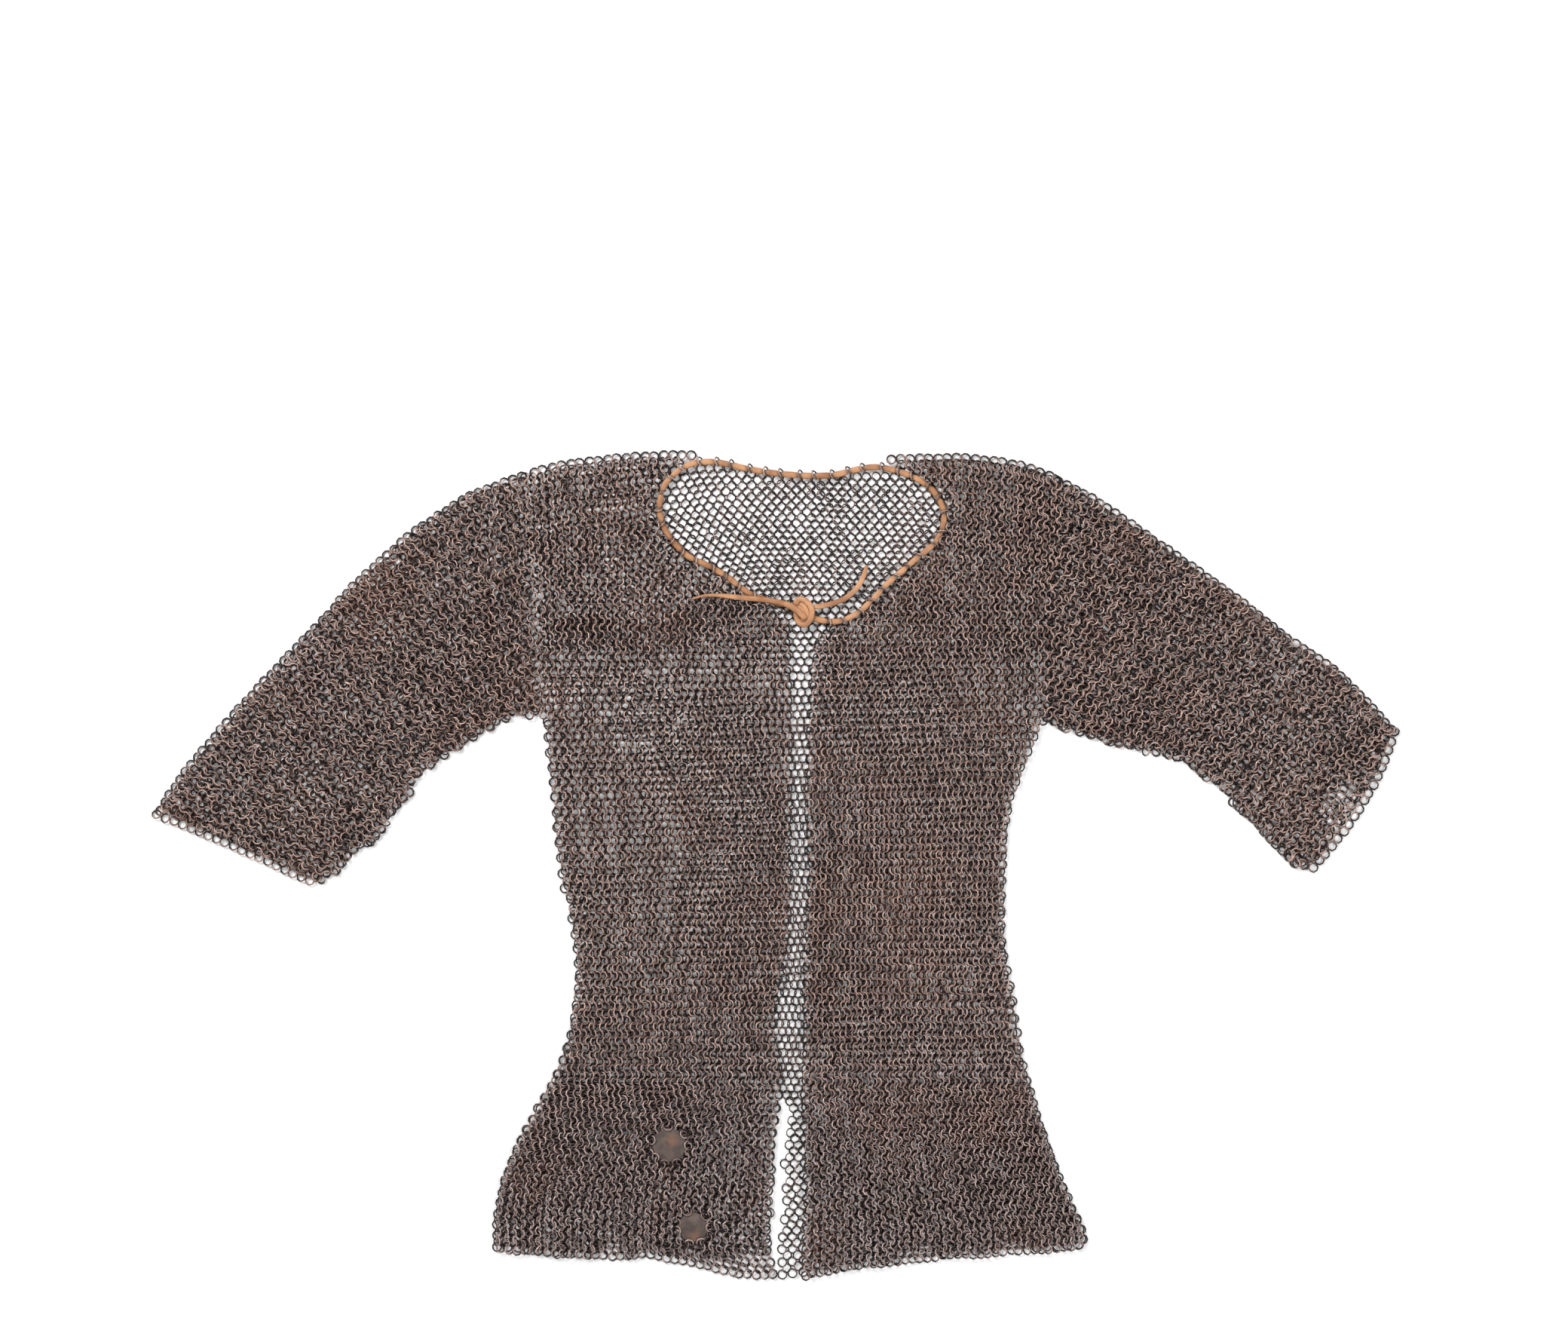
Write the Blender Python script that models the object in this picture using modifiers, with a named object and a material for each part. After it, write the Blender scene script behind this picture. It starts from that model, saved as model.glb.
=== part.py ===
"""Chainmail hauberk laid out flat on its back, built as the areas of mail that its maker links together.

Metres, +Z up. X runs towards the wearer's left sleeve, Y from the hem to the neck, and the mail lies on the plane Z = 0.
The origin is the middle of the mail's outline, on that plane. The back lies lowest, the fronts lie on it, and each
sleeve is a flattened tube. The panels' tables are in millimetres from the front's centre line and from the hem.
"""

import math
from collections import namedtuple

import bmesh
import bpy
from mathutils import Vector

MM = 0.001

# Driving dimensions
MAIL = 3.8 * MM  # thickness of one layer of linked rings
GAP = 0.3 * MM  # clearance between neighbouring pieces
CENTRE_X = 16.0 * MM  # the front's centre line, from the origin
HEM_Y = -389.1 * MM  # the level that heights are measured from

FRONT_BASE = MAIL + GAP  # underside of the upper layer
FRONT_TOP = FRONT_BASE + MAIL
FOLD_RADIUS = 3.5 * MM  # rounding of the upper layer where the mail folds over a side or a shoulder

FRONT_COLUMNS = 9
SLEEVE_COLUMNS = 9
STEPS = 2  # sections made for each row of a table
BACK_BEVEL = 1.2 * MM
RIDGE_FADE = 40  # millimetres over which a ridge dies away towards a fold
SHARP_ANGLE = 50

THONG_WIDTH = 5.0 * MM
THONG_THICKNESS = 3.0 * MM
THONG_SIDES = 10
THONG_SPACING = 7.0 * MM  # between the points of the thong's smooth path
PATH_STEPS = 20

KNOT_CENTRE = (11.5, 623.0)
KNOT_SIZE = (17.0 * MM, 24.0 * MM, 9.0 * MM)

DISC_RIM = 1.0 * MM
DISC_CROWN = 0.8 * MM
DISC_SIDES = 40
DISC_SEAT = 14  # millimetres from a disc's middle, where the mail under it is measured

FrontRow = namedtuple("FrontRow", "edge_out edge_up side_out side_up fold corner")
SleeveRow = namedtuple("SleeveRow", "top_out top_up under_out under_up bow")
SlitRow = namedtuple("SlitRow", "up right_edge left_edge")
Ridge = namedtuple("Ridge", "start_x start_y end_x end_y height width")
Disc = namedtuple("Disc", "name x y radius")

# Sections of the right front, from the hem to the middle of the neck's back, in millimetres: the edge along the
# opening or the neck, then the edge at the side, the armhole or the shoulder. Fold is 1 where that edge is a fold and
# 0 at the armhole's seam. Corner is 1 where the outline turns sharply.
FRONT_RIGHT = [
    FrontRow(11, 4, 276, 33, 1, 1),
    FrontRow(20, 43, 277, 57, 1, 0),
    FrontRow(16, 99, 270, 99, 1, 0),
    FrontRow(13, 148, 248, 148, 1, 0),
    FrontRow(7, 190, 224, 190, 1, 0),
    FrontRow(15, 225, 211, 225, 1, 0),
    FrontRow(12, 274, 202, 274, 1, 0),
    FrontRow(3, 323, 203, 323, 1, 0),
    FrontRow(1, 386, 216, 386, 1, 0),
    FrontRow(0, 449, 223, 449, 1, 0),
    FrontRow(1, 519, 231, 526, 0, 1),
    FrontRow(1, 575, 234.7, 582, 0, 0),
    FrontRow(0, 612, 237.8, 631, 0, 1),
    FrontRow(37, 637, 240.5, 672, 0, 0),
    FrontRow(80, 662, 242.9, 708, 0, 0),
    FrontRow(111, 683, 244.8, 738, 0, 0),
    FrontRow(125, 706, 246, 756, 0, 1),
    FrontRow(127, 727, 210, 766, 1, 0),
    FrontRow(122, 745, 168, 771, 1, 0),
    FrontRow(109, 758, 131, 774, 1, 0),
    FrontRow(86, 768, 98, 775, 1, 0),
    FrontRow(59, 767, 63, 774, 1, 0),
    FrontRow(27, 761, 29, 772, 1, 0),
    FrontRow(0.15, 757, 0.15, 770, 1, 1),
]

# Sections of the left front, in the same order.
FRONT_LEFT = [
    FrontRow(7, 4, 276, 36, 1, 1),
    FrontRow(10, 43, 272, 57, 1, 0),
    FrontRow(11, 99, 253, 99, 1, 0),
    FrontRow(10, 148, 235, 148, 1, 0),
    FrontRow(9, 190, 222, 190, 1, 0),
    FrontRow(12, 225, 214, 225, 1, 0),
    FrontRow(11, 274, 206, 274, 1, 0),
    FrontRow(13, 323, 199, 323, 1, 0),
    FrontRow(17, 386, 200, 386, 1, 0),
    FrontRow(14, 449, 206, 449, 1, 0),
    FrontRow(15, 509, 232, 515, 0, 1),
    FrontRow(18, 568, 235, 575, 0, 0),
    FrontRow(24, 608, 237.9, 631, 0, 1),
    FrontRow(49, 612, 239.8, 670, 0, 0),
    FrontRow(80, 633, 241.3, 698, 0, 0),
    FrontRow(107, 658, 242.7, 726, 0, 0),
    FrontRow(138, 686, 244, 752, 0, 1),
    FrontRow(146, 709, 218, 764, 1, 0),
    FrontRow(143, 730, 189, 769, 1, 0),
    FrontRow(133, 743, 161, 772, 1, 0),
    FrontRow(113, 756, 128, 772, 1, 0),
    FrontRow(85, 763.5, 93, 771, 1, 0),
    FrontRow(45, 758, 46, 770, 1, 0),
    FrontRow(0.15, 757, 0.15, 770, 1, 1),
]

# Sections of each sleeve, from the armhole to the cuff: the end on the fold along its top, the end on the fold along
# its underside, and how far the middle bows towards the hand.
SLEEVE_RIGHT = [
    SleeveRow(246.4, 756.5, 231.4, 526.5, 0),
    SleeveRow(302, 736, 253, 525, 0),
    SleeveRow(355, 701, 281, 512, 0),
    SleeveRow(404, 657, 313, 491, 0),
    SleeveRow(446, 612, 340, 472, 0),
    SleeveRow(491, 565, 353, 448, 0),
    SleeveRow(533, 519, 376, 418, 0),
    SleeveRow(568, 476, 407, 389, 0),
    SleeveRow(596, 435, 439, 368, -2),
]
SLEEVE_LEFT = [
    SleeveRow(244.4, 752.5, 232.4, 515.5, 0),
    SleeveRow(277, 736, 261, 510, 0),
    SleeveRow(320, 708, 293, 498, 2),
    SleeveRow(370, 673, 335, 489, 3),
    SleeveRow(419, 638, 370, 477, 4),
    SleeveRow(464, 603, 398, 453, 5),
    SleeveRow(506, 575, 422, 426, 7),
    SleeveRow(541, 540, 450, 397, 9),
    SleeveRow(564, 514, 477, 376, 12),
]

# The riding vent in the back, from its top to the hem.
VENT = [
    SlitRow(189, 0.0, 3.0),
    SlitRow(182, -6.0, 5.0),
    SlitRow(165, -10.0, -1.5),
    SlitRow(148, -12.0, -4.0),
    SlitRow(127, -15.0, -8.0),
    SlitRow(99, -16.0, -8.0),
    SlitRow(69, -17.5, -8.0),
    SlitRow(45, -20.0, -11.0),
    SlitRow(30, -17.0, -13.0),
    SlitRow(24, -14.6, -13.6),
    SlitRow(3, -13.6, -12.6),
]

# Soft ridges of the upper layer, where the mail buckles between the arms and the body, in millimetres from the
# centre line and the hem.
RIDGES = [
    Ridge(-222, 536, -170, 610, 3.0, 15),
    Ridge(-250, 560, -232, 660, 2.0, 16),
    Ridge(-300, 545, -330, 620, 2.0, 17),
    Ridge(-420, 470, -500, 500, 2.0, 17),
    Ridge(205, 500, 178, 590, 3.5, 14),
    Ridge(222, 545, 232, 660, 2.5, 16),
    Ridge(300, 530, 340, 610, 2.5, 16),
    Ridge(400, 500, 470, 560, 2.0, 17),
    Ridge(170, 330, 160, 470, 1.5, 18),
    Ridge(-160, 260, -170, 420, 1.5, 18),
    Ridge(205, 60, 185, 170, 2.0, 18),
    Ridge(110, 50, 100, 200, 1.5, 20),
    Ridge(-215, 50, -190, 180, 2.0, 18),
]

# The thong's path round the neck, from one side of the knot to the other.
THONG_LOOP = [
    (0, 629), (-8, 632), (-22, 635.5), (-39, 642), (-50, 650), (-62, 659), (-78, 668), (-95, 676), (-107, 687),
    (-117, 701), (-122, 715), (-122, 727), (-118, 742), (-107, 754), (-93, 762), (-76, 764), (-60, 762), (-43, 758),
    (-20, 754), (0, 752), (20, 751), (41, 752), (57, 756), (76, 759), (92, 757), (111, 751), (125, 743), (135, 732),
    (141, 718), (140, 703), (133, 689), (118, 676), (104, 664), (90, 652), (76, 637), (63, 625), (49, 617.5),
    (36, 616), (24, 618),
]

# The thong's free ends: across, up, and the height of the centre line above the ground.
THONG_END_RIGHT = [
    (1.5, 630, 10.2), (-8, 633, 10.2), (-25, 636, 9.9), (-46, 638, 9.9), (-66, 640, 9.9), (-80, 640, 9.9),
    (-92, 637, 9.9),
]
THONG_END_LEFT = [
    (21.5, 629.5, 8.6), (32, 631, 7.0), (47, 636, 5.8), (59, 645, 5.8), (66, 656, 5.8), (70, 668, 5.8),
]

DISCS = [
    Disc("disc_upper", -113, 131, 15.5 * MM),
    Disc("disc_lower", -91, 55, 13.5 * MM),
]

IRON = ((0.115, 0.090, 0.078), 0.52, 0.75)
LEATHER = ((0.52, 0.26, 0.11), 0.55, 0.0)
BRONZE = ((0.085, 0.060, 0.050), 0.50, 0.55)


def clear_scene():
    for obj in list(bpy.data.objects):
        bpy.data.objects.remove(obj)


def new_collection(name):
    collection = bpy.data.collections.new(name)
    bpy.context.scene.collection.children.link(collection)
    return collection


def new_material(name, finish):
    colour, roughness, metallic = finish
    material = bpy.data.materials.new(name)
    material.use_nodes = True
    shader = material.node_tree.nodes["Principled BSDF"]
    shader.inputs["Base Color"].default_value = (*colour, 1.0)
    shader.inputs["Roughness"].default_value = roughness
    shader.inputs["Metallic"].default_value = metallic
    return material


def add_object(name, data, finish, collection, origin):
    obj = bpy.data.objects.new(name, data)
    collection.objects.link(obj)
    obj.parent = origin
    if data is not None:
        data.materials.append(new_material(name, finish))
    return obj


def catmull_rom(before, start, end, after, t):
    """One value of the smooth curve from start to end."""
    return 0.5 * (
        2 * start
        + (end - before) * t
        + (2 * before - 5 * start + 4 * end - after) * t * t
        + (3 * start - before - 3 * end + after) * t * t * t
    )


def refined(rows, corners):
    """The rows, with STEPS sections for each one, smooth between corners."""
    result = []
    for first, last in zip(corners, corners[1:]):
        for index in range(first, last):
            around = [rows[max(first, min(last, index + shift))] for shift in (-1, 0, 1, 2)]
            for step in range(STEPS):
                t = step / STEPS
                result.append([catmull_rom(*values, t) for values in zip(*around)])
    result.append([float(value) for value in rows[-1]])
    return result


def ridge_height(x, y):
    """How far the upper layer is lifted at a place in millimetres, in metres."""
    lift = 0.0
    place = Vector((x, y))
    for ridge in RIDGES:
        start = Vector((ridge.start_x, ridge.start_y))
        along = Vector((ridge.end_x, ridge.end_y)) - start
        share = (place - start).dot(along) / along.length_squared
        nearest = start + along * min(1.0, max(0.0, share))
        lift += ridge.height * math.exp(-((place - nearest).length / ridge.width) ** 2)
    return lift * MM


def fade_in(distance, reach):
    """0 at an edge, rising smoothly to 1 at reach."""
    share = min(1.0, max(0.0, distance / reach))
    return share * share * (3 - 2 * share)


def loft(loops, faces_across, close_ends):
    """A closed mesh through loops of equal length. close_ends makes each end's faces from the loop's indices."""
    mesh = bmesh.new()
    rings = [[mesh.verts.new(point) for point in loop] for loop in loops]
    for ring, following in zip(rings, rings[1:]):
        for a, b in faces_across:
            mesh.faces.new((ring[a], ring[b], following[b], following[a]))
    for ring in (rings[0], rings[-1]):
        for face in close_ends:
            mesh.faces.new([ring[index] for index in face])
    bmesh.ops.recalc_face_normals(mesh, faces=mesh.faces)
    return mesh


def finish_mesh(name, mesh):
    data = bpy.data.meshes.new(name)
    mesh.to_mesh(data)
    mesh.free()
    data.shade_smooth()
    data.set_sharp_from_angle(angle=math.radians(SHARP_ANGLE))
    return data


def front_section(row, side):
    """The closed section of a front along one row: its underside outwards, then its top back to the opening."""
    edge = Vector((side * row[0], row[1]))
    outer = Vector((side * row[2], row[3]))
    fold = row[4]
    across = outer - edge
    width = across.length
    across.normalize()
    radius = FOLD_RADIUS / MM
    flat = width - radius
    places = [flat * step / FRONT_COLUMNS for step in range(FRONT_COLUMNS + 1)]
    drops = [0.0] * len(places)
    for angle in (30, 60, 90):
        places.append(flat + radius * math.sin(math.radians(angle)))
        drops.append(fold * radius * (1 - math.cos(math.radians(angle))))
    under, top = [], []
    for place, drop in zip(places, drops):
        point = edge + across * place
        lift = ridge_height(point.x, point.y)
        lift *= 1 - fold * (1 - fade_in(width - place, RIDGE_FADE))
        under.append((point.x * MM, point.y * MM, FRONT_BASE + lift))
        top.append((point.x * MM, point.y * MM, FRONT_TOP + lift - drop * MM))
    return under + top[::-1]


def make_front(name, rows, side, collection, origin):
    corners = [index for index, row in enumerate(rows) if row.corner]
    loops = [front_section(row, side) for row in refined(rows, corners)]
    count = len(loops[0])
    around = [(index, (index + 1) % count) for index in range(count)]
    strip = [(k, k + 1, count - 2 - k, count - 1 - k) for k in range(count // 2 - 1)]
    mesh = loft(loops, around, strip)
    add_object(name, finish_mesh(name, mesh), IRON, collection, origin)


def sleeve_section(row, side):
    """Both closed loops of a sleeve's wall at one section, the outer one first."""
    top_fold = Vector((side * row[0], row[1]))
    under_fold = Vector((side * row[2], row[3]))
    bow = row[4]
    across = under_fold - top_fold
    width = across.length
    across.normalize()
    onward = Vector((-across.y, across.x))
    if onward.x * side < 0:
        onward.negate()
    half = FRONT_TOP / 2 / MM
    flat = width - 2 * half
    places = [half + flat * step / SLEEVE_COLUMNS for step in range(SLEEVE_COLUMNS + 1)]

    def spot(place, height, layer):
        point = top_fold + across * place
        share = place / width
        lift = layer * ridge_height(point.x, point.y) * fade_in(min(place, width - place), RIDGE_FADE)
        point += onward * (bow * 4 * share * (1 - share))
        return (point.x * MM, point.y * MM, height + lift)

    def fold_points(centre, sign):
        return [
            spot(centre + sign * half * math.cos(math.radians(angle)), half * MM * (1 + math.sin(math.radians(angle))), 0)
            for angle in (-45, 0, 45)
        ]

    slack = GAP / 2
    outer = [spot(place, 0.0, 0) for place in reversed(places)]
    outer += fold_points(half, -1)
    outer += [spot(place, FRONT_TOP, 1) for place in places]
    outer += reversed(fold_points(width - half, 1))
    inner = [spot(place, MAIL, 0) for place in reversed(places)]
    inner.append(spot(half - slack / MM, MAIL + slack, 0))
    inner += [spot(place, FRONT_BASE, 1) for place in places]
    inner.append(spot(width - half + slack / MM, MAIL + slack, 0))
    return outer, inner


def make_sleeve(name, rows, side, collection, origin):
    sections = [sleeve_section(row, side) for row in refined(rows, [0, len(rows) - 1])]
    loops = [outer + inner for outer, inner in sections]
    outer_count = len(sections[0][0])
    inner_count = len(sections[0][1])
    n = SLEEVE_COLUMNS + 1
    around = [(k, (k + 1) % outer_count) for k in range(outer_count)]
    around += [(outer_count + k, outer_count + (k + 1) % inner_count) for k in range(inner_count)]

    def inside(index):
        return outer_count + index % inner_count

    rim = [(k, k + 1, inside(k + 1), inside(k)) for k in range(n - 1)]
    rim += [(n + 3 + k, n + 4 + k, inside(n + 2 + k), inside(n + 1 + k)) for k in range(n - 1)]
    for outer_start, tip in ((n - 1, inside(n)), (2 * n + 2, inside(2 * n + 1))):
        a, b, c, d, e = [(outer_start + step) % outer_count for step in range(5)]
        before = inside(n - 1) if tip == inside(n) else inside(2 * n)
        after = inside(n + 1) if tip == inside(n) else inside(0)
        rim += [(a, b, tip, before), (b, c, tip), (c, d, tip), (d, e, after, tip)]
    mesh = loft(loops, around, rim)
    add_object(name, finish_mesh(name, mesh), IRON, collection, origin)


def back_outline():
    """The back's outline in metres, from the hem beside the vent, round the wearer's right side and the shoulders."""
    right = refined(FRONT_RIGHT, [k for k, row in enumerate(FRONT_RIGHT) if row.corner])
    left = refined(FRONT_LEFT, [k for k, row in enumerate(FRONT_LEFT) if row.corner])
    points = [(-row[2], row[3]) for row in right[:-1]]
    points += [(row[2], row[3]) for row in reversed(left[:-1])]
    points += [(row.left_edge, row.up) for row in reversed(VENT)]
    points += [(row.right_edge, row.up) for row in VENT]
    return [(x * MM, y * MM) for x, y in points]


def flat_solid(name, points, thickness):
    """A plate of an outline, standing on Z = 0."""
    mesh = bmesh.new()
    face = mesh.faces.new([mesh.verts.new((x, y, 0.0)) for x, y in points])
    grown = bmesh.ops.extrude_face_region(mesh, geom=[face])
    raised = [item for item in grown["geom"] if isinstance(item, bmesh.types.BMVert)]
    bmesh.ops.translate(mesh, vec=(0, 0, thickness), verts=raised)
    bmesh.ops.recalc_face_normals(mesh, faces=mesh.faces)
    return finish_mesh(name, mesh)


def make_back(collection, origin):
    back = add_object("back", flat_solid("back", back_outline(), MAIL), IRON, collection, origin)
    rounding = back.modifiers.new("edge rounding", "BEVEL")
    rounding.width = BACK_BEVEL
    rounding.segments = 1
    rounding.limit_method = "ANGLE"
    rounding.angle_limit = math.radians(60)


def smooth_path(points, spacing):
    """Evenly spaced points on a smooth curve through the given ones."""
    fine = []
    for index in range(len(points) - 1):
        around = [points[max(0, min(len(points) - 1, index + shift))] for shift in (-1, 0, 1, 2)]
        for step in range(PATH_STEPS):
            fine.append(Vector([catmull_rom(*values, step / PATH_STEPS) for values in zip(*around)]))
    fine.append(Vector(points[-1]))
    lengths = [0.0]
    for a, b in zip(fine, fine[1:]):
        lengths.append(lengths[-1] + (b - a).length)
    count = max(2, round(lengths[-1] / spacing))
    path, at = [], 0
    for step in range(count + 1):
        wanted = lengths[-1] * step / count
        while at < len(fine) - 2 and lengths[at + 1] < wanted:
            at += 1
        span = lengths[at + 1] - lengths[at]
        share = (wanted - lengths[at]) / span if span else 0.0
        path.append(fine[at].lerp(fine[at + 1], min(1.0, share)))
    return path


def thong_profile(collection):
    """The thong's oval section, which its curves are swept with."""
    data = bpy.data.curves.new("thong_profile", "CURVE")
    data.dimensions = "2D"
    spline = data.splines.new("POLY")
    spline.points.add(THONG_SIDES - 1)
    for index, point in enumerate(spline.points):
        angle = -2 * math.pi * index / THONG_SIDES
        point.co = (THONG_WIDTH / 2 * math.cos(angle), THONG_THICKNESS / 2 * math.sin(angle), 0, 1)
    spline.use_cyclic_u = True
    profile = bpy.data.objects.new("thong_profile", data)
    collection.objects.link(profile)
    profile.hide_render = True
    profile.display_type = "WIRE"
    return profile


def make_thong(name, route, tip_share, tip_radius, profile, collection, origin):
    """A stretch of thong along a route in millimetres, which narrows over its last share to tip_radius."""
    path = smooth_path([tuple(value * MM for value in point) for point in route], THONG_SPACING)
    data = bpy.data.curves.new(name, "CURVE")
    data.dimensions = "3D"
    data.twist_mode = "Z_UP"
    data.bevel_mode = "OBJECT"
    data.bevel_object = profile
    data.use_fill_caps = True
    spline = data.splines.new("POLY")
    spline.points.add(len(path) - 1)
    for index, (point, place) in enumerate(zip(spline.points, path)):
        point.co = (*place, 1)
        share = index / (len(path) - 1)
        narrowing = fade_in(share - (1 - tip_share), tip_share) if tip_share else 0.0
        point.radius = 1 - (1 - tip_radius) * narrowing
    add_object(name, data, LEATHER, collection, origin)


def make_thongs(collection, guides, origin):
    profile = thong_profile(guides)
    profile.parent = origin
    on_back = (MAIL + GAP + THONG_THICKNESS / 2) / MM
    loop = [(x, y, on_back) for x, y in THONG_LOOP]
    make_thong("neck_thong", loop, 0, 1, profile, collection, origin)
    make_thong("thong_end_right", THONG_END_RIGHT, 0.35, 0.35, profile, collection, origin)
    make_thong("thong_end_left", THONG_END_LEFT, 0.2, 0.7, profile, collection, origin)


def make_knot(collection, origin):
    mesh = bmesh.new()
    bmesh.ops.create_uvsphere(mesh, u_segments=20, v_segments=10, radius=0.5)
    bmesh.ops.scale(mesh, vec=KNOT_SIZE, verts=mesh.verts)
    knot = add_object("thong_knot", finish_mesh("thong_knot", mesh), LEATHER, collection, origin)
    x, y = KNOT_CENTRE
    knot.location = (x * MM, y * MM, MAIL + GAP + KNOT_SIZE[2] / 2)


def make_disc(disc, collection, origin):
    """A thin round plate with a low crown, turned about its own axis, lying on the right front."""
    mesh = bmesh.new()
    profile = [
        (0.0, DISC_RIM + DISC_CROWN),
        (disc.radius * 0.5, DISC_RIM + DISC_CROWN * 0.8),
        (disc.radius * 0.85, DISC_RIM + DISC_CROWN * 0.3),
        (disc.radius, DISC_RIM * 0.6),
        (disc.radius, 0.0),
        (0.0, 0.0),
    ]
    line = [mesh.verts.new((x, 0.0, z)) for x, z in profile]
    for a, b in zip(line, line[1:]):
        mesh.edges.new((a, b))
    data = bpy.data.meshes.new(disc.name)
    mesh.to_mesh(data)
    mesh.free()
    plate = add_object(disc.name, data, BRONZE, collection, origin)
    turn = plate.modifiers.new("turned", "SCREW")
    turn.steps = DISC_SIDES
    turn.render_steps = DISC_SIDES
    turn.use_merge_vertices = True
    turn.merge_threshold = 0.00001
    reach = (-DISC_SEAT, 0, DISC_SEAT)
    lift = max(ridge_height(disc.x + dx, disc.y + dy) for dx in reach for dy in reach)
    plate.location = (disc.x * MM, disc.y * MM, FRONT_TOP + lift + GAP)


def main():
    clear_scene()
    parts = new_collection("chainmail_hauberk")
    guides = new_collection("guides")
    origin = bpy.data.objects.new("hauberk_origin", None)
    parts.objects.link(origin)
    origin.location = (CENTRE_X, HEM_Y, 0.0)
    make_back(parts, origin)
    make_front("front_right", FRONT_RIGHT, -1, parts, origin)
    make_front("front_left", FRONT_LEFT, 1, parts, origin)
    make_sleeve("sleeve_right", SLEEVE_RIGHT, -1, parts, origin)
    make_sleeve("sleeve_left", SLEEVE_LEFT, 1, parts, origin)
    make_thongs(parts, guides, origin)
    make_knot(parts, origin)
    for disc in DISCS:
        make_disc(disc, parts, origin)
    bpy.context.view_layer.update()


main()
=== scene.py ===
"""Looks of the chainmail hauberk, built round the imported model.

Metres, +Z up, in the model's own frame. The mail is real rings, linked four in one: each leans over its
neighbour, and every second row leans the other way and stands half a column along. The lattice follows the
packed panels' edges. Places are in millimetres, out from the front's centre line and up from the hem.
"""

import math

import bmesh
import bpy
import numpy as np
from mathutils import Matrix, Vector, noise
from mathutils.bvhtree import BVHTree


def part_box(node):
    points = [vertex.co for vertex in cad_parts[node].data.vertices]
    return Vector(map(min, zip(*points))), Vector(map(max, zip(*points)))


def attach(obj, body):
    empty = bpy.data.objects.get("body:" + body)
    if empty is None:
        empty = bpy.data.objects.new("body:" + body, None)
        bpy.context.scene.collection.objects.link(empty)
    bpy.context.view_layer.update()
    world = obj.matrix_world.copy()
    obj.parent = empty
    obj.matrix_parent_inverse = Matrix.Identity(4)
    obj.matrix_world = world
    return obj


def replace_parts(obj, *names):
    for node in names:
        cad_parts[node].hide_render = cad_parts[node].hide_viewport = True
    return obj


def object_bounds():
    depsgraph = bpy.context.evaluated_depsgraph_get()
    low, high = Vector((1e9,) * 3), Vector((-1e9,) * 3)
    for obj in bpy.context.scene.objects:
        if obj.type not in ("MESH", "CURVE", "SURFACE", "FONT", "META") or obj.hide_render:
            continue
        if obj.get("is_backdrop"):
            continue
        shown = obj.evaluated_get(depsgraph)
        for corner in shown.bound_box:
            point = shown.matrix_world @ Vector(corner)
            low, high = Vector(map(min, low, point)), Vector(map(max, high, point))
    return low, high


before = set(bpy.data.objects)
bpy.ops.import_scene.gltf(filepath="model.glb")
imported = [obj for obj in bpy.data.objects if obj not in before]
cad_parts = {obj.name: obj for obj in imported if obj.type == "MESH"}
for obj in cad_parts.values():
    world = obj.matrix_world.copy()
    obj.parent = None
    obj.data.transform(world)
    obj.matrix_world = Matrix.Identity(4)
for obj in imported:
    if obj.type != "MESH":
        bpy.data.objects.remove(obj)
cad_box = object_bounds()

MM = 0.001
CENTRE_X = 16.0 * MM  # the front's centre line
HEM_Y = -389.1 * MM  # the level that heights are measured from

# The photograph: its width and scale, and the place that its middle shows
PHOTO_WIDTH = 2080
METRES_PER_PIXEL = 0.0007
VIEW_CENTRE = (0.00915, 0.18655)
LENS = 85
SENSOR = 36

# Colours. A pair holds the darkest and the brightest tone.
PAPER = (0.73, 0.73, 0.73, 1)
# painted shade, with some real dark patina: the near-black of each ring's low side and of the lower layer
IRON_SHADE_AND_PATINA = (0.016, 0.0083, 0.0068)
IRON_BROWN = ((0.205, 0.131, 0.107), (0.495, 0.338, 0.285))
IRON_GREY = ((0.185, 0.132, 0.117), (0.45, 0.343, 0.313))
IRON_SPECKLE = (0.12, 0.064, 0.05)
RUST = (0.20, 0.08, 0.047)
LEATHER = ((0.22, 0.09, 0.034), (0.40, 0.195, 0.09))
LEATHER_WORN = (0.16, 0.065, 0.028)
# painted shade, where a ring's wire crosses the thong
LEATHER_RING_SHADE = (0.055, 0.03, 0.02)
PATINA = ((0.048, 0.033, 0.028), (0.095, 0.068, 0.057))
PATINA_STAIN = (0.16, 0.075, 0.035)
GREY_LEVELS = (260, 140)  # the iron turns from brown to grey between these heights
RUST_SPOT = (-384, 640)  # the reddest patch, on the wearer's right sleeve
RUST_REACH = (15 * MM, 55 * MM)  # it fades between these distances
STAIN_REACH = 9 * MM

# A ring and its wire, which is hammered flat
WIRE_WIDTH = 1.7 * MM
WIRE_THICKNESS = 1.1 * MM
WIRE_SIDES = 3
WIRE_FULLNESS = 1.16  # a three-sided wire is this much larger, to look as full as a round one
SINGLE_FULLNESS = 0.92  # where the lower layer shows alone, its wire is worn thin
RING_RADIUS = 4.1 * MM  # to the middle of the wire
TOP_AROUND = 8  # sides of a ring in the upper layer
SHOWN_AROUND = 9  # in the lower layer, where it shows
HIDDEN_AROUND = 6
SHOWN_REACH = 9 * MM  # the lower layer shows this far in under an edge of the upper one

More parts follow.
